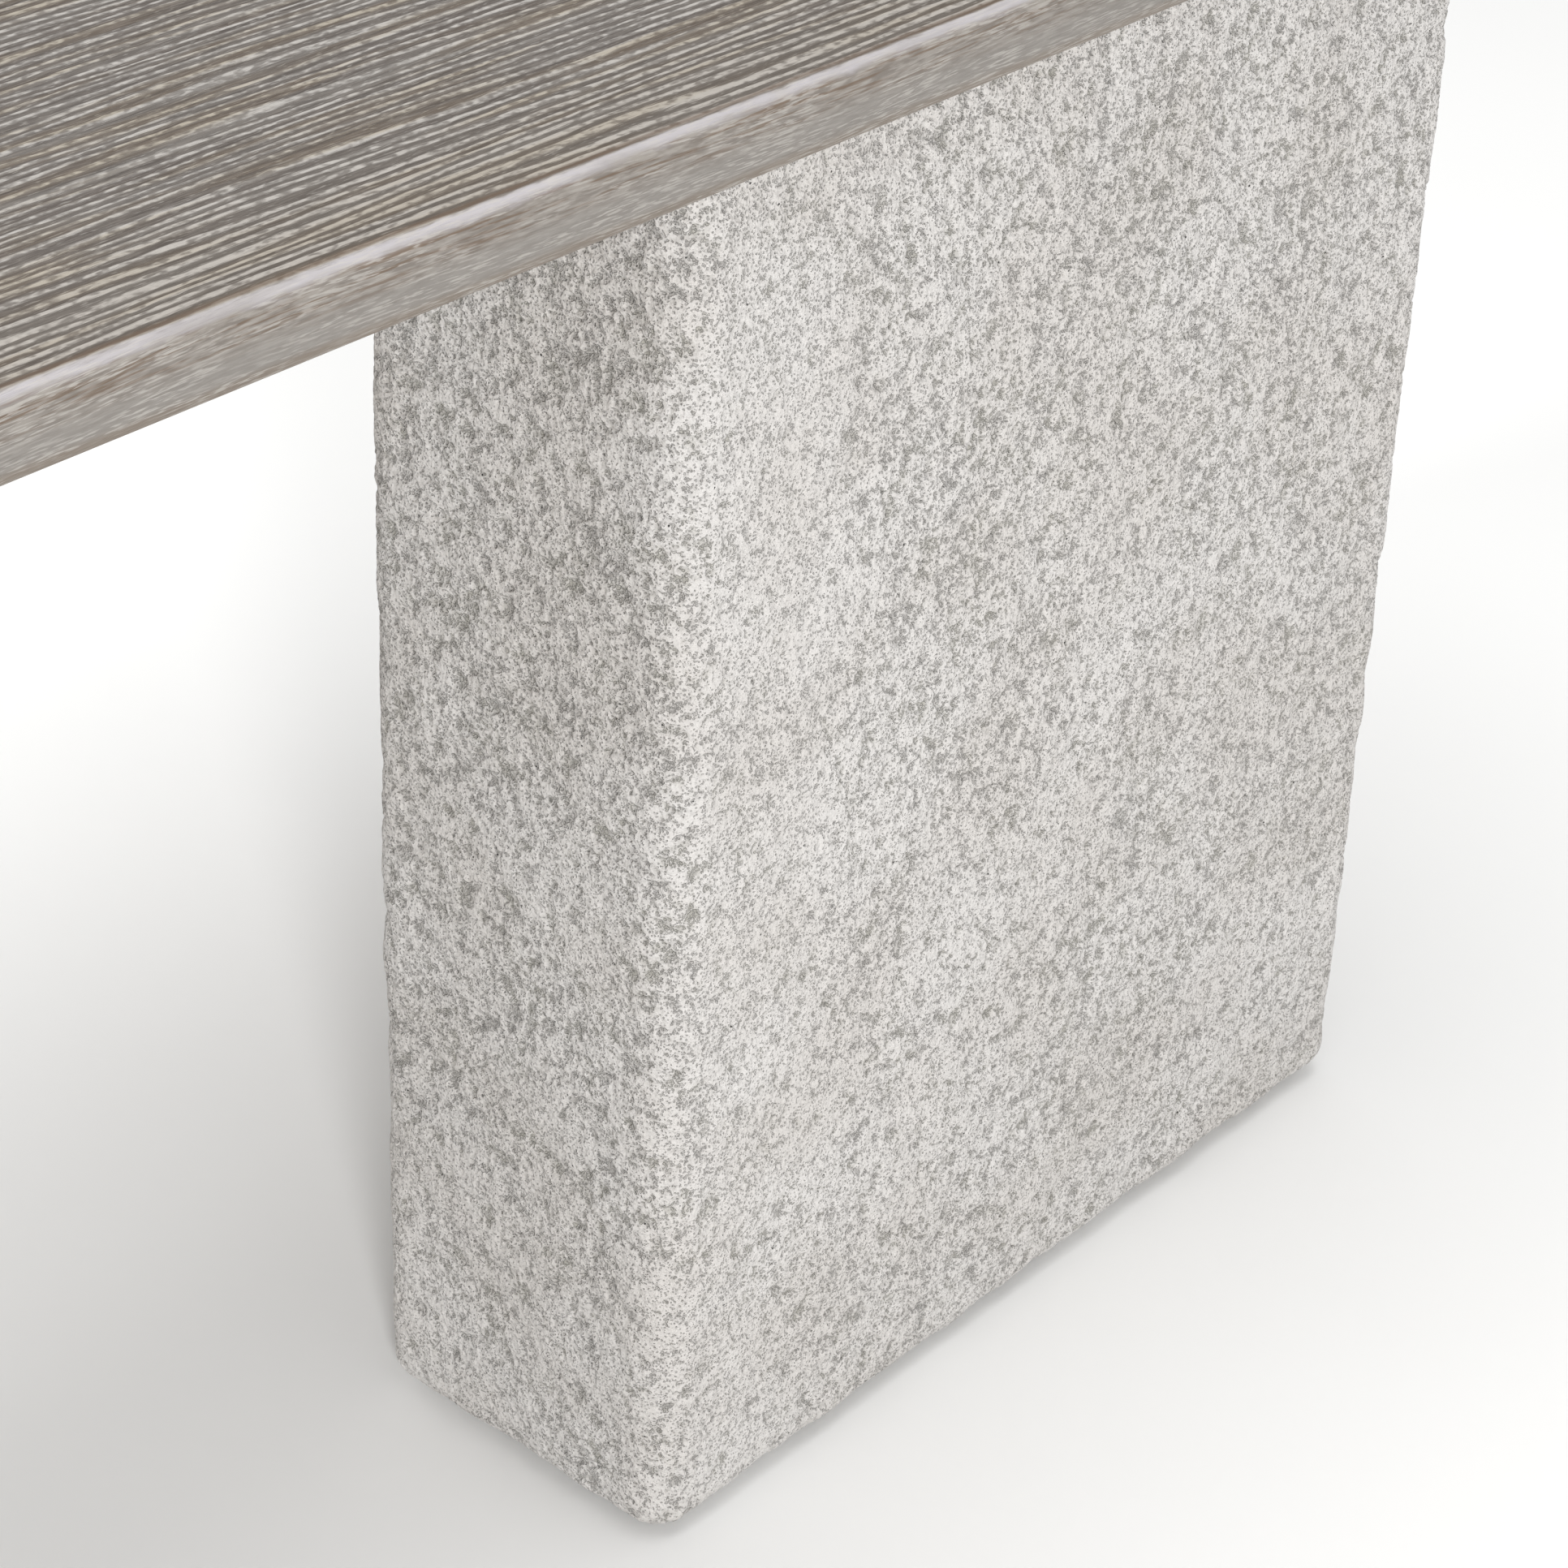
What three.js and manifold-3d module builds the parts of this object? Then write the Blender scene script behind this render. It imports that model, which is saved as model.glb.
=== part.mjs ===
// Garden bench: a wooden seat of two boards on two cast, L-shaped corner legs.
// Millimetres, +X along the bench, +Y to the rear, +Z up. The origin is on the floor, under the centre.
import * as THREE from 'three';
import { mergeVertices } from 'three/addons/utils/BufferGeometryUtils.js';
import Module from 'manifold-3d';

const wasm = await Module();
wasm.setup();

// Driving dimensions
const SEAT_LENGTH = 1220;
const SEAT_DEPTH = 384;
const SEAT_THICKNESS = 19;
const SEAT_HEIGHT = 440;
const SEAT_EDGE_RADIUS = 5;
const SEAT_CORNER_RADIUS = 8; // in plan
const OVERHANG = 27;          // the seat past the legs' outer faces, on all four sides
const ARM_LENGTH = 330;       // each arm of a leg, measured along its outer face
const ARM_THICKNESS = 113;
const LEG_EDGE_RADIUS = 13;   // upright edges
const LEG_RIM_RADIUS = 9.5;   // top and bottom edges
const LEG_WALL = 16;
const HOLLOW_RADIUS = 4;
const LEG_CAP = 26;           // the closed top of the hollow casting
const BASE_BOARD_THICKNESS = 12;
const GLIDE_HEIGHT = 3;
const GLIDE_RADIUS = 16;
const PLATE_THICKNESS = 5;
const PLATE_MARGIN = 35;      // from the leg's outer faces to the plate
const PLATE_RADIUS = 8;
const BATTEN = { length: 300, width: 45, thickness: 18, chamfer: 8, fromCentre: 110 };
const GAP = 0.3;              // between pieces that touch
const OVERCUT = 1;            // how far a cutter runs past the face that it opens
const ROUND = 12;             // sides of a small turned piece
const GLIDE_SIDES = 16;

// Fasteners, by radius and length
const SLEEVE = { radius: 6.5, bore: 4.3, length: 16, floor: 2 };
const PLATE_SCREW = { radius: 4, head: 8, cone: 4, length: 18, socket: 2.9, socketDepth: 2.4 };
const SEAT_INSERT = { radius: 5, bore: 3.3, length: 13, floor: 2 };
const SEAT_BOLT = { radius: 3, flange: 7, flangeHeight: 1.2, hex: 5.77, hexHeight: 5, length: 14.5 };
const BATTEN_SCREW = { radius: 2.2, tip: 0.8, head: 4.5, cone: 3, length: 30, point: 6 };
const GLIDE_SHANK = { radius: 2, length: 9 };
const GLIDE_CHAMFER = 1;

// Levels
const seatUnderside = SEAT_HEIGHT - SEAT_THICKNESS;
const legTop = seatUnderside - GAP;
const legBottom = GLIDE_HEIGHT;
const plateUnderside = legTop - PLATE_THICKNESS;
const pocketFloor = plateUnderside - GAP;
const battenTop = seatUnderside - GAP;
const battenUnderside = battenTop - BATTEN.thickness;

// Places on a leg, as [inward from its end face, back from its front face]
const plateEnd = SEAT_DEPTH - 2 * OVERHANG - ARM_THICKNESS;
const armMiddle = ARM_THICKNESS / 2;
const plateScrewAt = [[60, 60], [175, 60], [60, 175]];
const seatBoltAt = [[140, 137], [140, 193], [192, 137], [192, 193]];
const glideAt = [[50, 50], [170, armMiddle], [armMiddle, 170], [288, armMiddle], [armMiddle, 288]];
const legEndX = SEAT_LENGTH / 2 - OVERHANG;
const legFrontY = -SEAT_DEPTH / 2 + OVERHANG;
const sides = { left: -1, right: 1 };

const bench = new THREE.Group();

// Solids

function toSolid(geometry) {
  const bare = geometry.clone();
  bare.deleteAttribute('normal');
  bare.deleteAttribute('uv');
  const merged = mergeVertices(bare, 1e-4);
  return new wasm.Manifold(new wasm.Mesh({
    numProp: 3,
    vertProperties: Float32Array.from(merged.attributes.position.array),
    triVerts: Uint32Array.from(merged.index.array),
  }));
}

function toGeometry(solid) {
  const mesh = solid.getMesh();
  const geometry = new THREE.BufferGeometry();
  geometry.setAttribute('position', new THREE.BufferAttribute(mesh.vertProperties, 3));
  geometry.setIndex(new THREE.BufferAttribute(mesh.triVerts, 1));
  geometry.computeVertexNormals();
  return geometry;
}

function cut(geometry, cutters) {
  return toGeometry(cutters.reduce((solid, cutter) => solid.subtract(toSolid(cutter)), toSolid(geometry)));
}

// A prism between two levels, its rims rounded by rimRadius
function prism(shape, low, high, rimRadius = 0) {
  const geometry = new THREE.ExtrudeGeometry(shape, {
    depth: high - low - 2 * rimRadius,
    curveSegments: 4,
    bevelEnabled: rimRadius > 0,
    bevelThickness: rimRadius,
    bevelSize: rimRadius,
    bevelOffset: -rimRadius,
    bevelSegments: 3,
  });
  return geometry.translate(0, 0, low + rimRadius);
}

// A polygon of square corners, each rounded by the radius
function roundedOutline(corners, radius) {
  const shape = new THREE.Shape();
  corners.forEach((corner, i) => {
    const before = corners.at(i - 1).clone().sub(corner).setLength(radius);
    const after = corners[(i + 1) % corners.length].clone().sub(corner).setLength(radius);
    const start = corner.clone().add(before);
    const centre = start.clone().add(after);
    const clockwise = before.clone().cross(after) > 0;
    if (i === 0) shape.moveTo(start.x, start.y);
    else shape.lineTo(start.x, start.y);
    const from = after.clone().negate().angle();
    const to = before.clone().negate().angle();
    shape.absarc(centre.x, centre.y, radius, from, to, clockwise);
  });
  return shape;
}

function rectangle(x0, y0, x1, y1, radius) {
  const corners = [[x0, y0], [x1, y0], [x1, y1], [x0, y1]].map(([x, y]) => new THREE.Vector2(x, y));
  return roundedOutline(corners, radius);
}

// A turned piece about +Z from [radius, z] points that start and end on the axis
function turned(points, segments = ROUND) {
  const profile = points.map(([radius, z]) => new THREE.Vector2(radius, z));
  return new THREE.LatheGeometry(profile, segments).rotateX(Math.PI / 2);
}

function peg(radius, low, high, x = 0, y = 0, segments = ROUND) {
  return new THREE.CylinderGeometry(radius, radius, high - low, segments)
    .rotateX(Math.PI / 2)
    .translate(x, y, (low + high) / 2);
}

function add(parent, name, geometry, material, x = 0, y = 0, z = 0) {
  const mesh = new THREE.Mesh(geometry, material);
  mesh.name = name;
  mesh.position.set(x, y, z);
  parent.add(mesh);
}

// Materials, one for each mesh

function finish(color, roughness, metalness) {
  return new THREE.MeshStandardMaterial({ color, roughness, metalness });
}

const brushedWood = () => finish(0x9a9189, 0.7, 0);
const battenWood = () => finish(0xa08c74, 0.75, 0);
const castConcrete = () => finish(0xc8c4be, 0.9, 0);
const foam = () => finish(0xf0f0ee, 0.9, 0);
const fibreCement = () => finish(0x9c9a95, 0.9, 0);
const coatedSteel = () => finish(0x2c2d2e, 0.5, 0.4);
const zincSteel = () => finish(0xb9bcc0, 0.35, 0.9);
const brass = () => finish(0xb59a55, 0.35, 0.9);
const nylon = () => finish(0x232323, 0.6, 0);

// The leg's L in plan, drawn in from its outer outline by inset

function legOutline(inward, inset, radius) {
  const long = ARM_LENGTH - inset;
  const short = ARM_THICKNESS - inset;
  const corners = [
    [inset, inset], [long, inset], [long, short],
    [short, short], [short, long], [inset, long],
  ];
  return roundedOutline(corners.map(([x, y]) => new THREE.Vector2(inward * x, y)), radius);
}

function platePlan(inward, margin) {
  return rectangle(inward * (PLATE_MARGIN - margin), PLATE_MARGIN - margin,
    inward * (plateEnd + margin), plateEnd + margin, PLATE_RADIUS);
}

function legShell(inward) {
  const outer = prism(legOutline(inward, 0, LEG_EDGE_RADIUS), legBottom, legTop, LEG_RIM_RADIUS);
  const hollow = prism(legOutline(inward, LEG_WALL, HOLLOW_RADIUS), legBottom - OVERCUT, legTop - LEG_CAP);
  const pocket = prism(platePlan(inward, GAP), pocketFloor, legTop + OVERCUT);
  const sleeveHoles = plateScrewAt.map(([x, y]) =>
    peg(SLEEVE.radius + GAP, pocketFloor - SLEEVE.length - GAP, pocketFloor + OVERCUT, inward * x, y));
  return cut(outer, [hollow, pocket, ...sleeveHoles]);
}

function legCore(inward) {
  const low = legBottom + BASE_BOARD_THICKNESS + GAP;
  return prism(legOutline(inward, LEG_WALL + GAP, HOLLOW_RADIUS), low, legTop - LEG_CAP - GAP);
}

function baseBoard(inward) {
  const plan = legOutline(inward, LEG_WALL + GAP, HOLLOW_RADIUS);
  const board = prism(plan, legBottom, legBottom + BASE_BOARD_THICKNESS);
  const shankHoles = glideAt.map(([x, y]) =>
    peg(GLIDE_SHANK.radius + GAP, legBottom - OVERCUT, legBottom + GLIDE_SHANK.length + GAP, inward * x, y));
  return cut(board, shankHoles);
}

function mountingPlate(inward) {
  const plate = prism(platePlan(inward, 0), plateUnderside, legTop);
  const seats = plateScrewAt.map(([x, y]) => countersink(PLATE_SCREW).translate(inward * x, y, legTop));
  const throughHoles = plateScrewAt.map(([x, y]) =>
    peg(PLATE_SCREW.radius + GAP, plateUnderside - OVERCUT, legTop, inward * x, y));
  const boltHoles = seatBoltAt.map(([x, y]) =>
    peg(SEAT_BOLT.radius + GAP, plateUnderside - OVERCUT, legTop + OVERCUT, inward * x, y));
  return cut(plate, [...seats, ...throughHoles, ...boltHoles]);
}

// The hollow a countersunk head sits in, its mouth just above z = 0
function countersink({ radius, head, cone }) {
  const floor = -cone - GAP;
  return turned([[0, floor], [radius + GAP, floor], [head + GAP, 0], [head + GAP, OVERCUT], [0, OVERCUT]]);
}

// Fasteners, each with its bearing face at z = 0

function blindSleeve({ radius, bore, length, floor }) {
  const boreEnd = floor - length;
  return turned([[0, -length], [radius, -length], [radius, 0], [bore, 0], [bore, boreEnd], [0, boreEnd]]);
}

function plateScrew() {
  const { radius, head, cone, length, socket, socketDepth } = PLATE_SCREW;
  const body = turned([[0, -length], [radius, -length], [radius, -cone], [head, 0], [0, 0]]);
  return cut(body, [peg(socket, -socketDepth, OVERCUT, 0, 0, 6)]);
}

function seatBolt() {
  const { radius, flange, flangeHeight, hex, hexHeight, length } = SEAT_BOLT;
  const shankAndFlange = turned([[0, -flangeHeight], [flange, -flangeHeight], [flange, 0], [radius, 0],
    [radius, length], [0, length]]);
  const head = peg(hex, -flangeHeight - hexHeight, -flangeHeight / 2, 0, 0, 6);
  return toGeometry(toSolid(shankAndFlange).add(toSolid(head)));
}

function battenScrew() {
  const { radius, tip, head, cone, length, point } = BATTEN_SCREW;
  return turned([[0, 0], [head, 0], [radius, cone], [radius, length - point], [tip, length], [0, length]]);
}

function glide() {
  const padTop = GLIDE_HEIGHT - GAP;
  const tip = GLIDE_HEIGHT + GLIDE_SHANK.length;
  const profile = [
    [0, 0],
    [GLIDE_RADIUS - GLIDE_CHAMFER, 0],
    [GLIDE_RADIUS, GLIDE_CHAMFER],
    [GLIDE_RADIUS, padTop],
    [GLIDE_SHANK.radius, padTop],
    [GLIDE_SHANK.radius, tip],
    [0, tip],
  ];
  return turned(profile, GLIDE_SIDES);
}

// Seat

const battenScrewY = [-120, -40, 40, 120];
const battenXs = [-BATTEN.fromCentre, BATTEN.fromCentre];

function seatHoles() {
  const insertTop = seatUnderside + SEAT_INSERT.length + GAP;
  const inserts = Object.values(sides).flatMap((side) => seatBoltAt.map(([x, y]) =>
    peg(SEAT_INSERT.radius + GAP, seatUnderside - OVERCUT, insertTop, side * (legEndX - x), legFrontY + y)));
  const screwTop = battenUnderside + BATTEN_SCREW.length + GAP;
  const screws = battenXs.flatMap((x) => battenScrewY.map((y) =>
    peg(BATTEN_SCREW.radius + GAP, seatUnderside - OVERCUT, screwTop, x, y)));
  return [...inserts, ...screws];
}

function seatBoard(front) {
  const halfX = SEAT_LENGTH / 2;
  const halfY = SEAT_DEPTH / 2;
  const plan = rectangle(-halfX, -halfY, halfX, halfY, SEAT_CORNER_RADIUS);
  const whole = prism(plan, seatUnderside, SEAT_HEIGHT, SEAT_EDGE_RADIUS);
  const otherBoard = new THREE.BoxGeometry(2 * SEAT_LENGTH, SEAT_DEPTH, 3 * SEAT_THICKNESS)
    .translate(0, (front ? 1 : -1) * (halfY - GAP / 2), SEAT_HEIGHT);
  return cut(whole, [otherBoard, ...seatHoles()]);
}

function batten() {
  const halfLength = BATTEN.length / 2;
  const halfWidth = BATTEN.width / 2;
  const chamferTop = BATTEN.chamfer - BATTEN.thickness;
  const footLength = halfLength - BATTEN.chamfer;
  const outline = [
    [-halfLength, 0], [halfLength, 0], [halfLength, chamferTop],
    [footLength, -BATTEN.thickness], [-footLength, -BATTEN.thickness], [-halfLength, chamferTop],
  ];
  const side = new THREE.Shape(outline.map(([y, z]) => new THREE.Vector2(y, z)));
  const bar = new THREE.ExtrudeGeometry(side, { depth: BATTEN.width, bevelEnabled: false })
    .translate(0, 0, -halfWidth)
    .rotateX(Math.PI / 2)
    .rotateZ(Math.PI / 2);
  const holes = battenScrewY.flatMap((y) => [
    peg(BATTEN_SCREW.radius + GAP, -BATTEN.thickness, OVERCUT, 0, y),
    countersink(BATTEN_SCREW).rotateX(Math.PI).translate(0, y, -BATTEN.thickness),
  ]);
  return cut(bar, holes);
}

// Assembly

add(bench, 'seat_board_front', seatBoard(true), brushedWood());
add(bench, 'seat_board_rear', seatBoard(false), brushedWood());
battenXs.forEach((x, i) => {
  add(bench, `batten_${i + 1}`, batten(), battenWood(), x, 0, battenTop);
  battenScrewY.forEach((y, k) => {
    add(bench, `batten_${i + 1}_screw_${k + 1}`, battenScrew(), zincSteel(), x, y, battenUnderside);
  });
});

for (const [name, side] of Object.entries(sides)) {
  const inward = -side;
  const leg = new THREE.Group();
  leg.position.set(side * legEndX, legFrontY, 0);
  add(leg, `leg_${name}_shell`, legShell(inward), castConcrete());
  add(leg, `leg_${name}_core`, legCore(inward), foam());
  add(leg, `leg_${name}_base_board`, baseBoard(inward), fibreCement());
  add(leg, `leg_${name}_mounting_plate`, mountingPlate(inward), coatedSteel());
  plateScrewAt.forEach(([x, y], i) => {
    add(leg, `leg_${name}_sleeve_${i + 1}`, blindSleeve(SLEEVE), brass(), inward * x, y, pocketFloor);
    add(leg, `leg_${name}_plate_screw_${i + 1}`, plateScrew(), zincSteel(), inward * x, y, legTop);
  });
  seatBoltAt.forEach(([x, y], i) => {
    const insert = blindSleeve(SEAT_INSERT).rotateX(Math.PI);
    add(leg, `seat_insert_${name}_${i + 1}`, insert, brass(), inward * x, y, seatUnderside);
    add(leg, `seat_bolt_${name}_${i + 1}`, seatBolt(), zincSteel(), inward * x, y, plateUnderside - GAP);
  });
  glideAt.forEach(([x, y], i) => {
    add(leg, `leg_${name}_glide_${i + 1}`, glide(), nylon(), inward * x, y);
  });
  bench.add(leg);
}

export default bench;
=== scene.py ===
"""Looks for the garden bench: rough cast-concrete corner legs under a brushed, grey-washed wooden seat.

Metres, +X along the bench, +Y to the rear, +Z up, the floor at z = 0.
"""

import math

import bpy
import numpy as np
from mathutils import Matrix, Vector


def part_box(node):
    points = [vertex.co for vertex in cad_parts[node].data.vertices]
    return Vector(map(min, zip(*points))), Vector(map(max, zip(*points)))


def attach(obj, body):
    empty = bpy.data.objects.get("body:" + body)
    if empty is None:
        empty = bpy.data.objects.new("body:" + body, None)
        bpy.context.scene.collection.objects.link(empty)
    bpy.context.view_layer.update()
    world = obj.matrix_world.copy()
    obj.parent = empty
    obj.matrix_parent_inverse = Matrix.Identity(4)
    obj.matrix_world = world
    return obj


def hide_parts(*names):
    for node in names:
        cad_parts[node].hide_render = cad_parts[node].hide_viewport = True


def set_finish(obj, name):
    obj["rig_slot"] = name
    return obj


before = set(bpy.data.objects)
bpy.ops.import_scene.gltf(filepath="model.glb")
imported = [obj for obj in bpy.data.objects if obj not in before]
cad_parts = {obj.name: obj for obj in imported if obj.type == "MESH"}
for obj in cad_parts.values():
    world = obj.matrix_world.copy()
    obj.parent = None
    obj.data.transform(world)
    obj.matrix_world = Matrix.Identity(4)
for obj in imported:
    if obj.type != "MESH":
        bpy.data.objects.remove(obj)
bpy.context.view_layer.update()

MM = 0.001

# ---------------------------------------------------------------- dimensions that the CAD solids share
ARM_THICKNESS = 113 * MM
LEG_EDGE_RADIUS = 13 * MM
LEG_RIM_RADIUS = 9.5 * MM
LEG_WALL = 16 * MM
HOLLOW_RADIUS = 4 * MM
LEG_CAP = 26 * MM
PLATE_THICKNESS = 5 * MM
PLATE_RADIUS = 8 * MM
GAP = 0.3 * MM
SLEEVE_RADIUS = 6.5 * MM
SLEEVE_LENGTH = 16 * MM
SEAT_EDGE_RADIUS = 5 * MM
SEAT_CORNER_RADIUS = 8 * MM
INSERT_RADIUS = 5 * MM
INSERT_LENGTH = 13 * MM
SCREW_RADIUS = 2.2 * MM


# ---------------------------------------------------------------- fields

def periodic_noise(rng, shape, cell, low, high, slope=1.0):
    """Noise that repeats at its borders, with a mean of 0 and a deviation of 1.

    low and high are the shortest and longest wavelengths kept, each as (down the rows, along them).
    """
    k0 = np.fft.fftfreq(shape[0], cell[0])[:, None]
    k1 = np.fft.rfftfreq(shape[1], cell[1])[None, :]
    fine = np.hypot(k0 * low[0], k1 * low[1])
    coarse = np.hypot(k0 * high[0], k1 * high[1])
    gain = np.exp(-fine**4) * (1 - np.exp(-coarse**4)) / np.maximum(coarse, 1e-6) ** slope
    spectrum = np.fft.rfft2(rng.standard_normal(shape)) * gain
    field = np.fft.irfft2(spectrum, s=shape)
    return (field - field.mean()) / field.std()


def sample(field, rows, columns):
    """The field read between its cells, wrapping round at its borders."""
    height, width = field.shape
    r0 = np.floor(rows).astype(int)
    c0 = np.floor(columns).astype(int)
    fr = rows - r0
    fc = columns - c0
    r1 = (r0 + 1) % height
    c1 = (c0 + 1) % width
    r0 %= height
    c0 %= width
    upper = field[r0, c0] * (1 - fc) + field[r0, c1] * fc
    lower = field[r1, c0] * (1 - fc) + field[r1, c1] * fc
    return upper * (1 - fr) + lower * fr


def smoothstep(low, high, value):
    """0 below low and 1 above high, with a smooth rise between."""
    t = np.clip((value - low) / (high - low), 0, 1)
    return t * t * (3 - 2 * t)


# ---------------------------------------------------------------- meshes

def build_mesh(name, points, faces, attributes=None, loop_uv=None):
    """An object from points and from faces, given as one array for each count of corners."""
    mesh = bpy.data.meshes.new(name)
    corners = np.concatenate([f.ravel() for f in faces]).astype(np.int32)
    counts = np.concatenate([np.full(len(f), f.shape[1]) for f in faces])
    starts = np.concatenate([[0], np.cumsum(counts)[:-1]]).astype(np.int32)
    mesh.vertices.add(len(points))
    mesh.vertices.foreach_set("co", np.asarray(points, np.float32).ravel())
    mesh.loops.add(len(corners))
    mesh.loops.foreach_set("vertex_index", corners)
    mesh.polygons.add(len(starts))
    mesh.polygons.foreach_set("loop_start", starts)
    mesh.update(calc_edges=True)
    mesh.shade_smooth()
    for key, values in (attributes or {}).items():
        layer = mesh.attributes.new(key, "FLOAT", "POINT")
        layer.data.foreach_set("value", np.asarray(values, np.float32))
    if loop_uv is not None:
        layer = mesh.uv_layers.new(name="OFBake")
        layer.data.foreach_set("uv", np.asarray(loop_uv, np.float32).ravel())
    piece = bpy.data.objects.new(name, mesh)
    bpy.context.scene.collection.objects.link(piece)
    return piece


def pegs(name, plans, low, high):
    """One object of several separate prisms, from z = low to z = high."""
    n = len(plans[0])
    ring = np.arange(n)
    following = (ring + 1) % n
    points, walls, ends = [], [], []
    for i, outline in enumerate(plans):
        first = 2 * n * i
        points += [np.c_[outline, np.full(n, low)], np.c_[outline, np.full(n, high)]]
        walls.append(np.stack([ring, following, following + n, ring + n], 1) + first)
        ends += [ring[::-1][None] + first, ring[None] + n + first]
    return build_mesh(name, np.vstack(points), [np.vstack(walls), np.vstack(ends)])


def circle(x, y, radius, sides=24):
    """Points round a circle, anticlockwise."""
    angle = np.arange(sides) * 2 * math.pi / sides
    return np.c_[x + radius * np.cos(angle), y + radius * np.sin(angle)]


def subtract(piece, cutters):
    """Takes the cutters out of the piece and removes them."""
    for cutter in cutters:
        modifier = piece.modifiers.new("cut", "BOOLEAN")
        modifier.operation = "DIFFERENCE"
        modifier.solver = "MANIFOLD"
        modifier.object = cutter
    depsgraph = bpy.context.evaluated_depsgraph_get()
    cut_mesh = bpy.data.meshes.new_from_object(piece.evaluated_get(depsgraph), depsgraph=depsgraph)
    piece.modifiers.clear()
    piece.data = cut_mesh
    for cutter in cutters:
        bpy.data.objects.remove(cutter)


# ---------------------------------------------------------------- cast legs

FINE_STEP = 0.6 * MM
COARSE_STEP = 1.4 * MM
FIELD_CELL = 0.5 * MM
FIELD_MARGIN = 8 * MM

# How far each kind of roughness goes up or down
SWELL_HEIGHT = 0.25 * MM
GOUGE_HEIGHT = 0.06 * MM
SUNK_DEPTH = 0.80 * MM
PORE_DEPTH = 0.60 * MM
SKIN_LIFT = 0.35 * MM
CRATER_SPACING = 12 * MM
CRATER_RADII = (1.8 * MM, 4.8 * MM)
CRATER_DEPTHS = (0.3 * MM, 0.9 * MM)

# A closer skin on the front face, by distance from its free corner, and its share at the top and the bottom
CALM_RISE = (2 * MM, 22 * MM)
CALM_FALL = (38 * MM, 85 * MM)
CALM_SHARES = (0.55, 0.20)
CALM_LIFT = 0.25 * MM

# Where the skin ends in a leg's map, then the two rings of the hollow and the strips of the two caps
SKIN_END = 0.88
HOLLOW_RINGS = [0.90, 0.93]
CAP_STRIPS = [0.94, 0.97]
CAP_STRIP_WIDTH = 0.025

# The inner corner of the L, counted from its outer corner
INNER_CORNER = 3


def leg_ring(length, inset, convex_radius, concave_radius, counts):
    """Points and outward directions round the L in plan, from its outer corner.

    counts gives the (corner, side) point counts for each of the six corners and the sides after them.
    """
    long, short = length - inset, ARM_THICKNESS - inset
    corners = np.array([
        [inset, inset], [long, inset], [long, short], [short, short], [short, long], [inset, long],
    ])
    points, outward = [], []
    starts, ends, arcs = [], [], []
    for i, corner in enumerate(corners):
        before = corners[i - 1] - corner
        after = corners[(i + 1) % 6] - corner
        before /= np.linalg.norm(before)
        after /= np.linalg.norm(after)
        radius = concave_radius if i == INNER_CORNER else convex_radius
        centre = corner + (before + after) * radius
        turn = -1 if i == INNER_CORNER else 1
        first = math.atan2(-after[1], -after[0])
        angles = first + turn * np.linspace(0, math.pi / 2, counts[i][0] + 1)
        ray = np.c_[np.cos(angles), np.sin(angles)]
        arcs.append((centre + ray * radius, ray * turn))
        starts.append(corner + before * radius)
        ends.append(corner + after * radius)
    for i in range(6):
        arc_points, arc_out = arcs[i]
        points.append(arc_points[:-1])
        outward.append(arc_out[:-1])
        share = np.arange(counts[i][1])[:, None] / counts[i][1]
        points.append(ends[i] * (1 - share) + starts[(i + 1) % 6] * share)
        outward.append(np.repeat(arc_out[-1:], counts[i][1], axis=0))
    return np.vstack(points), np.vstack(outward)


def ring_counts(length, steps):
    """(corner, side) point counts from the step wanted along each of the six sides."""
    inner = length - ARM_THICKNESS
    sides = [length, ARM_THICKNESS, inner, inner, ARM_THICKNESS, length]
    arc = LEG_EDGE_RADIUS * math.pi / 2
    counts = []
    for i, side in enumerate(sides):
        corner_step = min(steps[i - 1], steps[i])
        straight = side - 2 * LEG_EDGE_RADIUS
        counts.append((round(arc / corner_step), round(straight / steps[i])))
    return counts


def crater_field(rng, shape, cell, spacing, radii, depths):
    """Shallow rounded hollows, as negative heights, thrown over a field that repeats at its borders."""
    field = np.zeros(shape)
    count = int(shape[0] * shape[1] * cell * cell / spacing**2)
    for _ in range(count):
        radius = rng.uniform(*radii)
        depth = rng.uniform(*depths)
        squash = rng.uniform(0.65, 1.0)
        lean = rng.uniform(0, math.pi)
        row, column = rng.uniform(0, shape[0]), rng.uniform(0, shape[1])
        reach = int(radius / cell) + 1
        dr, dc = np.mgrid[-reach:reach + 1, -reach:reach + 1]
        along = (dr * math.cos(lean) + dc * math.sin(lean)) * cell
        across = (dc * math.cos(lean) - dr * math.sin(lean)) * cell / squash
        away = np.hypot(along, across) / radius
        bowl = -depth * (1 - smoothstep(0.35, 1.0, away))
        rows = (int(row) + dr) % shape[0]
        columns = (int(column) + dc) % shape[1]
        field[rows, columns] = np.minimum(field[rows, columns], bowl)
    return field


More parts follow.
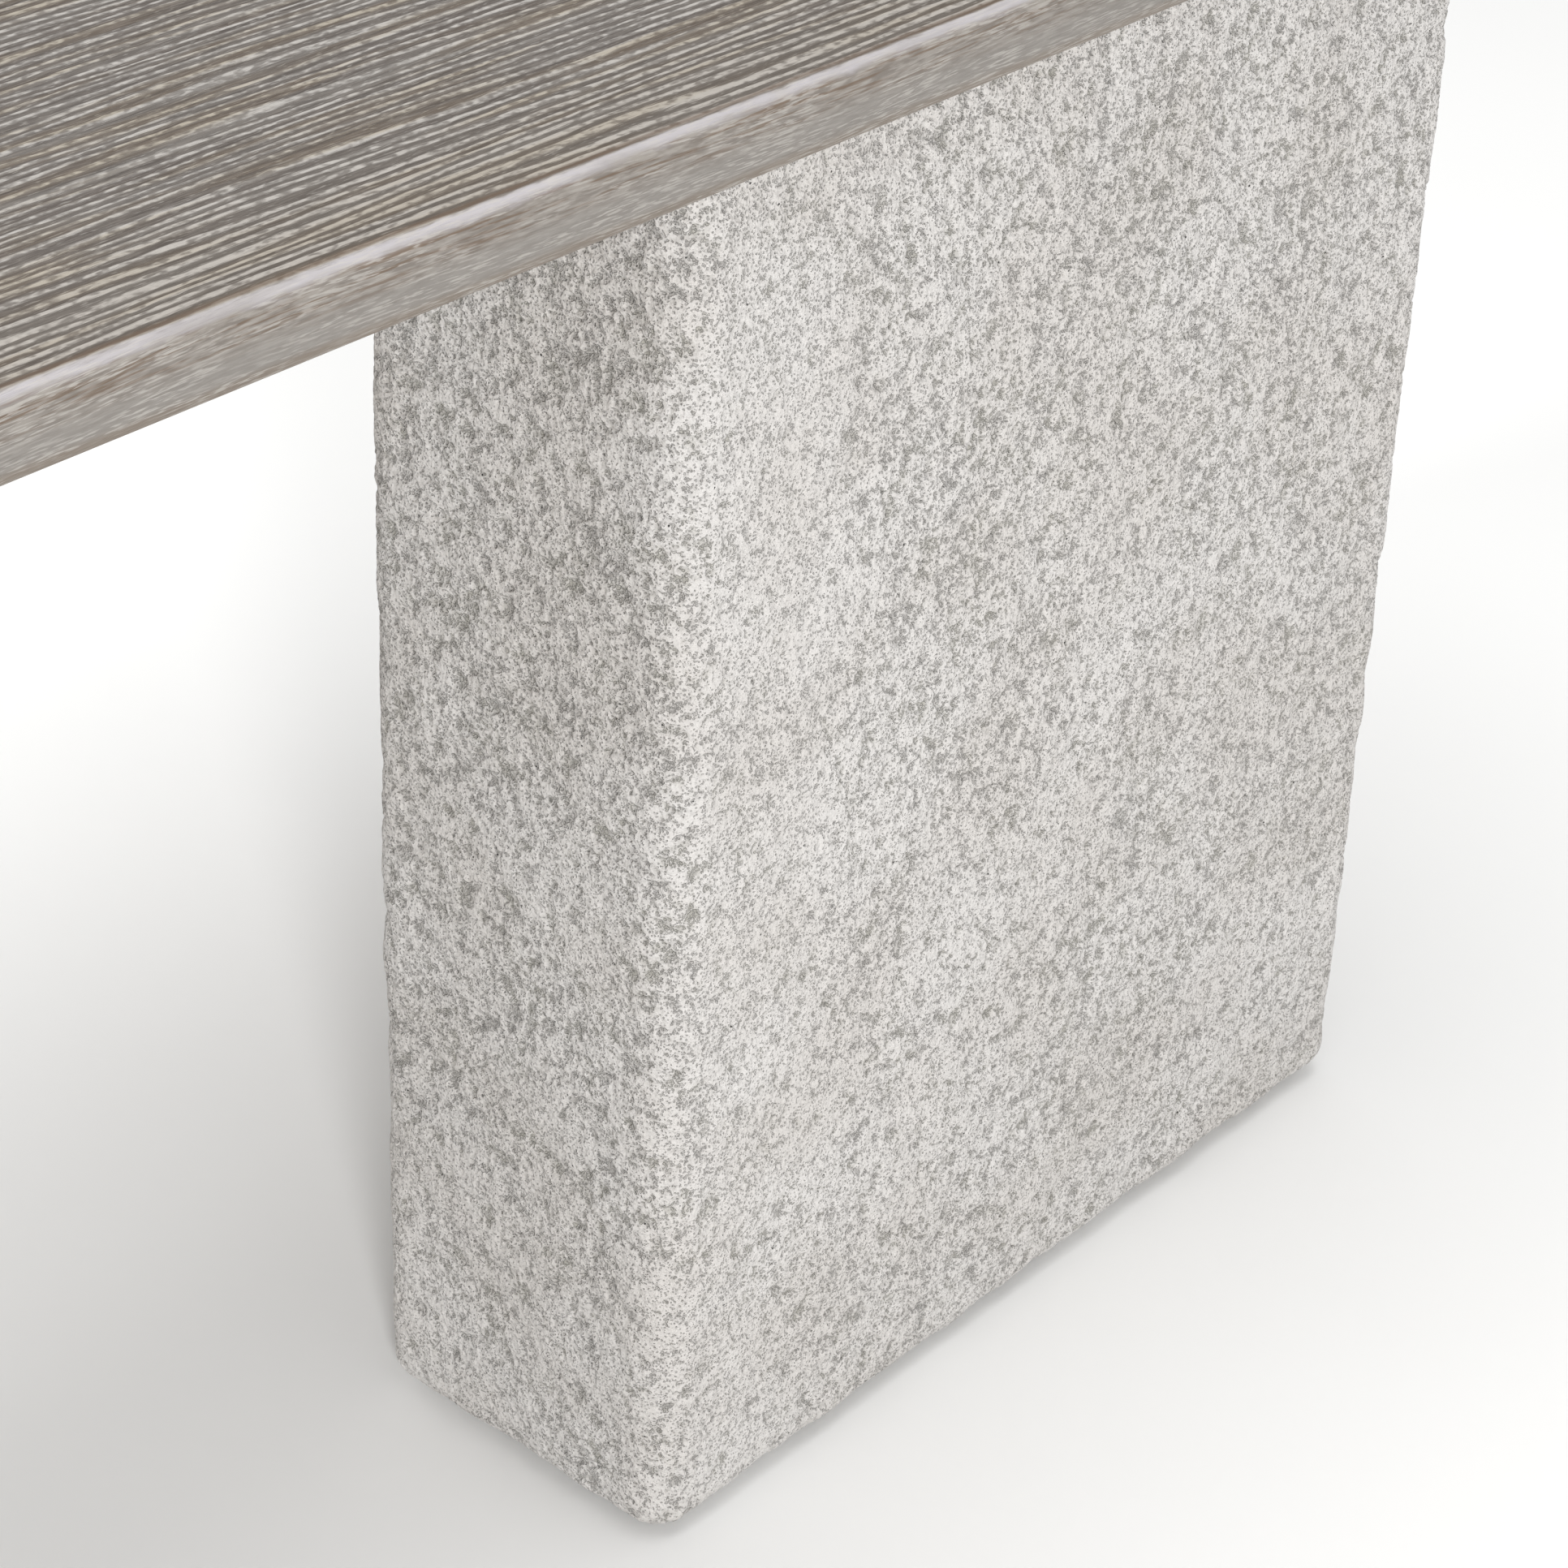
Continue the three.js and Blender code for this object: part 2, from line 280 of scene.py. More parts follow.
def concrete_fields(seed, around, along):
    """Height in metres, and hollowness from 0 to about 2, over the surface of a leg, unrolled."""
    rng = np.random.default_rng(seed)
    shape = (int(along / FIELD_CELL), int(around / FIELD_CELL))
    cell = (FIELD_CELL, FIELD_CELL)

    def band(low, high, slope=1.0):
        return periodic_noise(rng, shape, cell, (low * MM,) * 2, (high * MM,) * 2, slope)

    swell = band(16, 55)
    hollows = band(4, 14)
    gouges = band(1.4, 4.5)
    dots = band(1.2, 2.6, 0.5)
    regions = band(25, 90)
    craters = crater_field(rng, shape, FIELD_CELL, CRATER_SPACING, CRATER_RADII, CRATER_DEPTHS)
    upper = np.linspace(0.22, -0.14, shape[0])[:, None]
    low = 0.60 * gouges + 0.52 * hollows + 0.14 * regions + upper
    sunk = smoothstep(0.15, 1.3, low)
    pores = smoothstep(0.8, 1.8, dots + 0.40 * low)
    height = SWELL_HEIGHT * swell - SUNK_DEPTH * sunk - PORE_DEPTH * pores + GOUGE_HEIGHT * gouges + craters
    return height + SKIN_LIFT, sunk + 0.6 * pores - craters / MM


def leg_shell(name, node, inward, steps, wall_step, seed):
    """One cast leg: its rough skin, its hollow, the pocket for the plate and the holes for the sleeves.

    inward is the direction along X from the bench's end to its middle. steps gives the distance between the
    points along each of the six sides, and wall_step the one up the walls.
    """
    low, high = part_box(node)
    bottom, top = low.z, high.z
    length = high.x - low.x
    counts = ring_counts(length, steps)
    outer, _ = leg_ring(length, 0, LEG_EDGE_RADIUS, LEG_EDGE_RADIUS, counts)
    stride = np.linalg.norm(np.roll(outer, -1, 0) - outer, axis=1)
    around = np.concatenate([[0], np.cumsum(stride)])
    perimeter = around[-1]

    # The outer profile from the top face to the underside: inset, height, the normal's tilt and the path
    rim_steps = round(LEG_RIM_RADIUS * math.pi / 2 / wall_step)
    angle = np.linspace(0, math.pi / 2, rim_steps + 1)
    wall_height = top - bottom - 2 * LEG_RIM_RADIUS
    wall_z = np.linspace(top - LEG_RIM_RADIUS, bottom + LEG_RIM_RADIUS, round(wall_height / wall_step))
    inset = np.concatenate([
        LEG_RIM_RADIUS * (1 - np.sin(angle)),
        np.zeros(len(wall_z) - 2),
        LEG_RIM_RADIUS * (1 - np.sin(angle[::-1])),
    ])
    height = np.concatenate([
        top - LEG_RIM_RADIUS * (1 - np.cos(angle)),
        wall_z[1:-1],
        bottom + LEG_RIM_RADIUS * (1 - np.cos(angle[::-1])),
    ])
    tilt = np.concatenate([angle, np.full(len(wall_z) - 2, math.pi / 2), math.pi - angle[::-1]])
    path = np.concatenate([[0], np.cumsum(np.hypot(np.diff(inset), np.diff(height)))])

    field, pits = concrete_fields(seed, perimeter, path[-1] + FIELD_MARGIN)
    rows, columns = len(path), len(outer)
    grid_row = np.repeat(path / FIELD_CELL, columns)
    grid_column = np.tile(around[:-1] / perimeter * field.shape[1], rows)
    relief = sample(field, grid_row, grid_column).reshape(rows, columns)
    pit = sample(pits, grid_row, grid_column).reshape(rows, columns)
    fade = smoothstep(0.0, 1.0, np.sin(tilt) * 1.6)[:, None]
    relief = relief * fade

    # Beside the free corner of the front face the skin is closer, more so towards the top
    beside = length - outer[:, 0]
    calm = smoothstep(*CALM_RISE, beside) * (1 - smoothstep(*CALM_FALL, beside))
    calm = calm * (outer[:, 1] < 2 * MM)
    calm = calm[None, :] * np.linspace(*CALM_SHARES, rows)[:, None]
    relief = relief + calm * (CALM_LIFT - relief)
    pit = pit * (1 - calm)

    points = []
    for q in range(rows):
        ring, out = leg_ring(
            length, inset[q], LEG_EDGE_RADIUS - inset[q], LEG_EDGE_RADIUS + inset[q], counts
        )
        push = relief[q][:, None]
        ring = ring + out * push * math.sin(tilt[q])
        z = height[q] + relief[q] * math.cos(tilt[q])
        points.append(np.c_[ring, z])
    hollow_ring, _ = leg_ring(length, LEG_WALL, HOLLOW_RADIUS, HOLLOW_RADIUS, counts)
    points.append(np.c_[hollow_ring, np.full(columns, bottom)])
    points.append(np.c_[hollow_ring, np.full(columns, top - LEG_CAP)])
    points = np.vstack(points)
    ring_total = rows + 2

    end_x = high.x if inward < 0 else low.x
    points = np.c_[end_x + inward * points[:, 0], low.y + points[:, 1], points[:, 2]]

    index = np.arange(ring_total * columns).reshape(ring_total, columns)
    following = np.roll(index, -1, axis=1)
    quads = np.stack([index[:-1], index[1:], following[1:], following[:-1]], -1).reshape(-1, 4)
    caps = np.stack([index[0], index[-1][::-1]])

    # The unrolled skin fills most of the map, and the hidden hollow and the two caps take a strip each
    v_of_ring = np.concatenate([path / path[-1] * SKIN_END, HOLLOW_RINGS])
    u = np.broadcast_to(around[None, :] / perimeter, (ring_total, columns + 1))
    v = np.broadcast_to(v_of_ring[:, None], (ring_total, columns + 1))
    uv = np.stack([u, v], -1)
    quad_uv = np.stack([uv[:-1, :-1], uv[1:, :-1], uv[1:, 1:], uv[:-1, 1:]], 2).reshape(-1, 2)
    flat = (points[caps.ravel()][:, :2] - [low.x, low.y]) / length
    strip = np.repeat(CAP_STRIPS, columns)
    cap_uv = np.c_[flat[:, 0], strip + flat[:, 1] * CAP_STRIP_WIDTH]

    if inward < 0:
        quads = quads[:, ::-1]
        caps = caps[:, ::-1]
        quad_uv = quad_uv.reshape(-1, 4, 2)[:, ::-1].reshape(-1, 2)
        cap_uv = cap_uv.reshape(2, -1, 2)[:, ::-1].reshape(-1, 2)
    hollow = np.concatenate([pit.ravel(), np.zeros(2 * columns)])
    piece = build_mesh(name, points, [quads, caps], {"hollow": hollow}, np.vstack([quad_uv, cap_uv]))
    subtract(piece, leg_cutters(node.replace("_shell", ""), top))
    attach(piece, "root")
    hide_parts(node)
    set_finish(piece, "cast_concrete")
    return piece


def rounded_rectangle(x0, y0, x1, y1, radius, segments=6):
    """Points round a rectangle with rounded corners, anticlockwise."""
    quarter = np.linspace(0, math.pi / 2, segments + 1)
    left, right, front, rear = x0 + radius, x1 - radius, y0 + radius, y1 - radius
    outline = []
    for turn, centre in enumerate([(right, rear), (left, rear), (left, front), (right, front)]):
        angle = quarter + turn * math.pi / 2
        outline.append(centre + radius * np.c_[np.cos(angle), np.sin(angle)])
    return np.vstack(outline)


def middle_of(node):
    """A CAD node's middle in plan."""
    low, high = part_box(node)
    return (low.x + high.x) / 2, (low.y + high.y) / 2


def leg_cutters(leg, top):
    """The pocket for a leg's mounting plate and the holes for its sleeves."""
    low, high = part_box(f"{leg}_mounting_plate")
    floor = top - PLATE_THICKNESS - GAP
    above = top + 5 * MM
    plan = rounded_rectangle(low.x - GAP, low.y - GAP, high.x + GAP, high.y + GAP, PLATE_RADIUS + GAP)
    sleeves = [circle(*middle_of(f"{leg}_sleeve_{i}"), SLEEVE_RADIUS + GAP) for i in (1, 2, 3)]
    return [
        pegs("pocket_cutter", [plan], floor, above),
        pegs("sleeve_cutter", sleeves, floor - SLEEVE_LENGTH - GAP, floor + MM),
    ]


# ---------------------------------------------------------------- seat boards

GRAIN_CELL = (0.5 * MM, 2.0 * MM)
GRAIN_WIDTH = 260 * MM
GRAIN_MARGIN = 20 * MM
LINE_SPACING = 3.5 * MM

# How far each part of the brushed relief goes up or down
RIDGE_HEIGHT = 0.07 * MM
CHIP_HEIGHT = 0.05 * MM
WAVE_HEIGHT = 0.06 * MM
RIM_LINE_DEPTH = 0.10 * MM
RELIEF_LIMIT = 0.35 * MM

# The flat face in the middle of the underside keeps this far from the edges and from the joint
UNDER_MARGIN = 10 * MM
JOINT_MARGIN = 3 * MM

# The underside's strip of a board's map
UNDER_START = 0.63
UNDER_END = 0.85


def wood_fields(seed, across, along, cell):
    """Fields of the brushed grain, rows across the board and columns along it.

    The first counts the grain lines from the joint, and the others are small and broad heights.
    """
    rng = np.random.default_rng(seed)
    shape = (int(across / cell[0]), int(along / cell[1]))
    broad = periodic_noise(rng, shape, cell, (14 * MM, 160 * MM), (60 * MM, 900 * MM), 0.5)
    wander = periodic_noise(rng, shape, cell, (5 * MM, 30 * MM), (14 * MM, 140 * MM), 0.5)
    lines = np.arange(shape[0])[:, None] * cell[0] / LINE_SPACING + 0.36 * broad + 0.08 * wander
    chips = periodic_noise(rng, shape, cell, (1.2 * MM, 5 * MM), (3.0 * MM, 30 * MM), 0.5)
    swell = periodic_noise(rng, shape, cell, (9 * MM, 150 * MM), (40 * MM, 900 * MM), 1.0)
    return lines, chips, swell


class BoardLattice:
    """Lattice lines through a board, and a number for each lattice point on its surface.

    x runs over the whole length, y from the joint to the outer edge and z up from the underside.
    """

    def __init__(self, node, step_x, step_y):
        low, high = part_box(node)
        self.half_x = (high.x - low.x) / 2
        self.outer_y = max(abs(low.y), abs(high.y))
        self.joint_y = min(abs(low.y), abs(high.y))
        self.underside = low.z
        self.thickness = high.z - low.z

        # Closer together in the rounded edges
        end_lines = self.half_x - np.linspace(SEAT_CORNER_RADIUS, 0, 13)
        inner_lines = np.linspace(-end_lines[0], end_lines[0], round(2 * end_lines[0] / step_x))
        edge_lines = self.outer_y - np.linspace(SEAT_CORNER_RADIUS, 0, 15)
        inner_count = round((edge_lines[0] - self.joint_y) / step_y)
        corner = np.linspace(0, SEAT_EDGE_RADIUS, 8)
        middle = np.linspace(SEAT_EDGE_RADIUS, self.thickness - SEAT_EDGE_RADIUS, 16)
        self.xs = np.concatenate([-end_lines[::-1], inner_lines[1:-1], end_lines])
        self.ys = np.concatenate([np.linspace(self.joint_y, edge_lines[0], inner_count)[:-1], edge_lines])
        self.zs = np.concatenate([corner, middle[1:-1], self.thickness - corner[::-1]])

        # The middle of the underside has no points, because it is one flat face
        shape = (len(self.xs), len(self.ys), len(self.zs))
        border = np.zeros(shape, bool)
        border[[0, -1]] = True
        border[:, [0, -1]] = True
        border[:, :, [0, -1]] = True
        flat_x = self.half_x - UNDER_MARGIN
        self.keep_x = np.searchsorted(self.xs, [-flat_x, flat_x])
        self.keep_y = np.searchsorted(self.ys, [self.joint_y + JOINT_MARGIN, self.outer_y - UNDER_MARGIN])
        border[self.keep_x[0] + 1:self.keep_x[1], self.keep_y[0] + 1:self.keep_y[1], 0] = False
        self.number = np.full(shape, -1, np.int32)
        self.number[border] = np.arange(border.sum())
        self.surface = np.nonzero(border)


def rounded_surface(board):
    """The lattice's surface points with the rims and the plan's corners rounded.

    Returns the points and their normals, with z up from the underside, and two paths. rim is the path past
    the start of the rounding, over the rim and down the edge. across is the place across the board, which
    goes on over the rim.
    """
    i, j, k = board.surface
    x, y, z = board.xs[i], board.ys[j], board.zs[k]
    half_x, outer_y, thickness = board.half_x, board.outer_y, board.thickness
    radius = SEAT_EDGE_RADIUS

    # The plan's corners: the square of each corner becomes a quarter disc
    plan = SEAT_CORNER_RADIUS
    a = np.abs(x) - (half_x - plan)
    b = y - (outer_y - plan)
    in_corner = (a > 0) & (b > 0)
    round_a = a * np.sqrt(np.maximum(0, 1 - b**2 / (2 * plan**2)))
    round_b = b * np.sqrt(np.maximum(0, 1 - a**2 / (2 * plan**2)))
    rho = np.hypot(round_a, round_b)
    inset = np.where(in_corner, plan - rho, np.minimum(half_x - np.abs(x), outer_y - y))
    to_end = (half_x - np.abs(x)) < (outer_y - y)
    dir_x = np.where(in_corner, round_a / np.maximum(rho, 1e-9), np.where(to_end, 1.0, 0.0))
    dir_y = np.where(in_corner, round_b / np.maximum(rho, 1e-9), np.where(to_end, 0.0, 1.0))
    plan_x = np.where(in_corner, half_x - plan + round_a, np.abs(x))
    plan_y = np.where(in_corner, outer_y - plan + round_b, y)

    # The rims: the square of inset and depth under each rim becomes a quarter disc
    depth = np.minimum(z, thickness - z)
    e = np.clip(1 - inset / radius, 0, 1)
    d = np.clip(1 - depth / radius, 0, 1)
    new_e = e * np.sqrt(1 - d**2 / 2)
    new_d = d * np.sqrt(1 - e**2 / 2)
    moved = (new_e - e) * radius
    plan_x = plan_x + dir_x * moved
    plan_y = plan_y + dir_y * moved
    rim_depth = (1 - new_d) * radius
    up = z > thickness / 2
    new_z = np.where(depth < radius, np.where(up, thickness - rim_depth, rim_depth), z)
    flat = (e <= 0) & (depth <= 0)
    angle = np.where(flat, 0, np.arctan2(new_e, new_d))
    angle = np.where(depth >= radius, math.pi / 2, angle)
    normal = np.c_[
        np.sign(x) * dir_x * np.sin(angle), dir_y * np.sin(angle), np.where(up, 1, -1) * np.cos(angle)
    ]

    # The two paths. The joint's face counts as far from the rim
    quarter = radius * math.pi / 2
    straight = thickness - 2 * radius
    down = quarter + (thickness - z) - radius
    under = quarter + straight + (math.pi / 2 - angle) * radius
    past_start = np.where(depth >= radius, down, np.where(up, angle * radius, under))
    rim = np.where(flat & up, -(inset - radius), past_start)
    rim = np.where(flat & ~up, 2 * quarter + straight + inset - radius, rim)
    rim = np.where((j == 0) & ~flat & (e <= 0), -(outer_y - board.joint_y), rim)
    to_front = ~to_end | in_corner
    across = np.where(to_front & (rim > 0), outer_y - radius + rim, plan_y)
    return np.c_[np.sign(x) * plan_x, plan_y, new_z], normal, rim, across


def brushed_relief(board, seed, normal, rim, across):
    """Height in metres along the normals, and the count of grain lines from the joint."""
    i, j, _ = board.surface
    fields = wood_fields(seed, GRAIN_WIDTH, 2 * board.half_x + GRAIN_MARGIN, GRAIN_CELL)
    row_at = (across - board.joint_y) / GRAIN_CELL[0]
    column_at = (board.xs[i] + board.half_x) / GRAIN_CELL[1]
    line_count, chip, wave = (sample(field, row_at, column_at) for field in fields)
    ridge = np.cos(2 * math.pi * line_count)

    # Full on top, less on the edge, none underneath or in the joint, and calmer past the rim
    exposed = smoothstep(0, 0.4, normal[:, 2]) + 0.7 * (np.abs(normal[:, 2]) < 0.4)
    exposed = np.where(j == 0, 0, np.clip(exposed, 0, 1))
    smooth_edge = 1 - 0.65 * smoothstep(-1 * MM, 2 * MM, rim)
    rim_line = np.exp(-((rim - 0.1 * MM) / (0.8 * MM)) ** 2)
    relief = exposed * (
        RIDGE_HEIGHT * ridge * smooth_edge
        + CHIP_HEIGHT * chip * smooth_edge
        + WAVE_HEIGHT * wave
        - RIM_LINE_DEPTH * rim_line
    )
    return np.minimum(relief, RELIEF_LIMIT), line_count


def board_faces(board, points, mirrored):
    """Quads, the flat face under the board, and the map's coordinates for the corners of both."""

    def scaled(values, start, end):
        return start + (values - values[0]) / (values[-1] - values[0]) * (end - start)

    # Each side's grid, its place in the map along the grid's first and second axes, and its turn
    number = board.number
    u_x = scaled(board.xs, 0.0, 1.0)
    sides = [
        (number[:, :, -1], u_x, scaled(board.ys, 0.0, 0.52), False),
        (number[:, -1, :], u_x, scaled(board.zs, 0.62, 0.53), True),
        (number[:, :, 0], u_x, scaled(board.ys, UNDER_START, UNDER_END), True),
        (number[:, 0, :], u_x, scaled(board.zs, 0.86, 0.90), False),
        (number[0], scaled(board.ys, 0.0, 0.48), scaled(board.zs, 0.91, 0.99), True),
        (number[-1], scaled(board.ys, 0.52, 1.0), scaled(board.zs, 0.91, 0.99), False),
    ]
    quads, uvs = [], []
    for grid, u, v, reverse in sides:
        uv = np.stack(np.meshgrid(u, v, indexing="ij"), -1)
        quad = np.stack([grid[:-1, :-1], grid[1:, :-1], grid[1:, 1:], grid[:-1, 1:]], -1).reshape(-1, 4)
        quad_uv = np.stack([uv[:-1, :-1], uv[1:, :-1], uv[1:, 1:], uv[:-1, 1:]], 2).reshape(-1, 4, 2)
        whole = (quad >= 0).all(1)
        turn = -1 if reverse != mirrored else 1
        quads.append(quad[whole][:, ::turn])
        uvs.append(quad_uv[whole][:, ::turn].reshape(-1, 2))

    i0, i1 = board.keep_x
    j0, j1 = board.keep_y
    under = number[:, :, 0]
    loop = np.concatenate([
        under[i0:i1, j0], under[i1, j0:j1], under[i1:i0:-1, j1], under[i0, j1:j0:-1],
    ])
    if not mirrored:
        loop = loop[::-1]
    depth = (np.abs(points[loop, 1]) - board.joint_y) / (board.outer_y - board.joint_y)
    loop_u = (points[loop, 0] + board.half_x) / (2 * board.half_x)
    loop_v = UNDER_START + depth * (UNDER_END - UNDER_START)
    return np.vstack(quads), loop[None], np.vstack([*uvs, np.c_[loop_u, loop_v]])


def seat_board(name, node, front_sign, step_x, step_y, seed):
    """One board of the seat. front_sign is -1 where its outer edge faces -Y, and 1 where it faces +Y."""
    board = BoardLattice(node, step_x, step_y)
    points, normal, rim, across = rounded_surface(board)
    relief, line_count = brushed_relief(board, seed, normal, rim, across)
    points = points + normal * relief[:, None]
    points[:, 1] *= front_sign
    points[:, 2] += board.underside
    quads, flat_face, loop_uv = board_faces(board, points, mirrored=front_sign < 0)
    attributes = {"across": across / MM, "rim": rim / MM, "lines": line_count}
    piece = build_mesh(name, points, [quads, flat_face], attributes, loop_uv)
    subtract(piece, seat_cutters(front_sign, board.underside))
    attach(piece, "root")
    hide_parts(node)
    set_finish(piece, "seat_wood")
    return piece


def seat_cutters(front_sign, underside):
    """The holes under one board for the seat bolts' inserts and the batten screws."""
    ours = [n for n in sorted(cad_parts) if middle_of(n)[1] * front_sign > 0]
    inserts = [n for n in ours if "insert" in n]
    screws = [n for n in ours if n.startswith("batten") and "screw" in n]
    screw_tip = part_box(screws[0])[1].z
    insert_holes = [circle(*middle_of(n), INSERT_RADIUS + GAP, 12) for n in inserts]
    screw_holes = [circle(*middle_of(n), SCREW_RADIUS + GAP, 12) for n in screws]
    return [
        pegs("insert_cutter", insert_holes, underside - MM, underside + INSERT_LENGTH + GAP),
        pegs("screw_cutter", screw_holes, underside - MM, screw_tip + GAP),
    ]


# ---------------------------------------------------------------- material nodes

class Nodes:
    """A short way to write a node material."""

    def __init__(self, name):
        self.material = bpy.data.materials.new(name)
        self.material.use_nodes = True
        self.tree = self.material.node_tree
        self.shader = self.tree.nodes["Principled BSDF"]
        self.coordinate = self.tree.nodes.new("ShaderNodeTexCoord").outputs["Object"]

    def put(self, socket, value):
        """Links or sets a socket."""
        if isinstance(value, bpy.types.NodeSocket):
            self.tree.links.new(value, socket)
        elif value is not None:
            socket.default_value = value

    def node(self, kind, **settings):
        made = self.tree.nodes.new(kind)
        for key, value in settings.items():
            setattr(made, key, value)
        return made

    def math(self, operation, a, b=None, c=None, clamp=False):
        made = self.node("ShaderNodeMath", operation=operation, use_clamp=clamp)
        for socket, value in zip(made.inputs, (a, b, c)):
            self.put(socket, value)
        return made.outputs[0]

    def attribute(self, name):
        return self.node("ShaderNodeAttribute", attribute_name=name).outputs["Fac"]

    def noise(self, vector, scale, detail=2.0, roughness=0.5):
        made = self.node("ShaderNodeTexNoise")
        self.put(made.inputs["Vector"], vector)
        self.put(made.inputs["Scale"], scale)
        self.put(made.inputs["Detail"], detail)
        self.put(made.inputs["Roughness"], roughness)
        return made.outputs[0]

    def voronoi(self, vector, scale):
        """The distance to the nearest cell's middle, in cells."""
        made = self.node("ShaderNodeTexVoronoi")
        self.put(made.inputs["Vector"], vector)
        self.put(made.inputs["Scale"], scale)
        return made.outputs["Distance"]

    def ramp(self, value, low, high, to_low=0.0, to_high=1.0):
        """A smooth step from to_low to to_high as the value goes from low to high."""
        made = self.node("ShaderNodeMapRange", interpolation_type="SMOOTHSTEP")
        for socket, number in zip(made.inputs, (value, low, high, to_low, to_high)):
            self.put(socket, number)
        return made.outputs[0]

    def mix(self, share, a, b):
        """A colour that is a where share is 0 and b where it is 1."""
        made = self.node("ShaderNodeMix", data_type="RGBA")
        self.put(made.inputs["Factor"], share)
        self.put(made.inputs[6], a if isinstance(a, bpy.types.NodeSocket) else (*a, 1))
        self.put(made.inputs[7], b if isinstance(b, bpy.types.NodeSocket) else (*b, 1))
        return made.outputs[2]

    def combine(self, x, y, z):
        made = self.node("ShaderNodeCombineXYZ")
        for socket, value in zip(made.inputs, (x, y, z)):
            self.put(socket, value)
        return made.outputs[0]

    def split(self, vector):
        made = self.node("ShaderNodeSeparateXYZ")
        self.put(made.inputs[0], vector)
        return made.outputs[0], made.outputs[1], made.outputs[2]

    def bump(self, height, distance, strength):
        made = self.node("ShaderNodeBump")
        self.put(made.inputs["Height"], height)
        self.put(made.inputs["Distance"], distance)
        self.put(made.inputs["Strength"], strength)
        return made.outputs[0]

    def finish(self, color, roughness, normal=None, metallic=0.0, specular=0.5):
        """Connects the surface and gives the finished material."""
        self.put(self.shader.inputs["Base Color"], color)
        self.put(self.shader.inputs["Roughness"], roughness)
        self.put(self.shader.inputs["Metallic"], metallic)
        self.put(self.shader.inputs["Specular IOR Level"], specular)
        if normal is not None:
            self.put(self.shader.inputs["Normal"], normal)
        return self.material


def srgb(red, green, blue):
    """Linear colour from 0 to 255 display values."""
    def linear(value):
        value /= 255
        return value / 12.92 if value <= 0.04045 else ((value + 0.055) / 1.055) ** 2.4
    return linear(red), linear(green), linear(blue)


def concrete():
    """Pale cement skin, finely pitted, greyer and rougher in its hollows, with a few pinholes. The grey in
    the pores and hollows is partly the grit's own colour and partly painted shade, and the pinholes are
    painted near black as shade.
    """
    n = Nodes("cast_concrete")
    at = n.coordinate
    hollow = n.attribute("hollow")
    patch = n.noise(at, 230, 3.0, 0.55)
    lumps = n.noise(at, 560, 1.0, 0.5)
    sand = n.noise(at, 2000, 1.0, 0.5)
    cloud = n.noise(at, 20, 3.0, 0.5)
    tint = n.noise(at, 75, 2.0, 0.5)

    # Fine pores, crowded together where the skin is broken
    broken = n.math("MULTIPLY_ADD", hollow, 0.35, n.ramp(patch, 0.42, 0.66, 0.0, 0.26))
    broken = n.math("ADD", broken, n.ramp(n.noise(at, 14, 2.0, 0.5), 0.35, 0.65, -0.03, 0.05))
    away = n.math("MULTIPLY_ADD", sand, 0.8, n.voronoi(at, 1150))
    away = n.math("MULTIPLY_ADD", lumps, -0.6, away)
    away = n.math("MULTIPLY_ADD", broken, -0.55, away)
    pores = n.ramp(away, 0.10, 0.45, 1.0, 0.0)

    skin = n.mix(n.ramp(cloud, 0.35, 0.65), srgb(215, 211, 207), srgb(221, 218, 215))
    floor = n.mix(n.ramp(tint, 0.42, 0.62), srgb(151, 148, 143), srgb(148, 146, 134))
    # Painted shade: the pores and the broken, hollow skin are darkened towards the grey pit colour (floor).
    # This is partly the exposed grit's own colour and partly the shade that would fall in them.
    shade = n.math("MULTIPLY_ADD", pores, 0.28, n.ramp(broken, 0.08, 0.55, 0.0, 0.32), clamp=True)
    color = n.mix(shade, skin, floor)
    pinhole = n.ramp(n.voronoi(at, 130), 0.030, 0.042, 1.0, 0.0)
    # Painted shade: the pinholes are coloured near black for the shade inside them, and the bump below also
    # sinks them.
    color = n.mix(n.math("MULTIPLY", pinhole, 0.9), color, srgb(45, 44, 42))

    height = n.math("MULTIPLY_ADD", pores, -0.55, n.math("MULTIPLY", lumps, 1.1))
    height = n.math("MULTIPLY_ADD", sand, 0.25, height)
    height = n.math("MULTIPLY_ADD", pinhole, -0.4, height)
    normal = n.bump(height, 1.0 * MM, 1.0)
    return n.finish(color, 0.92, normal, specular=0.3)


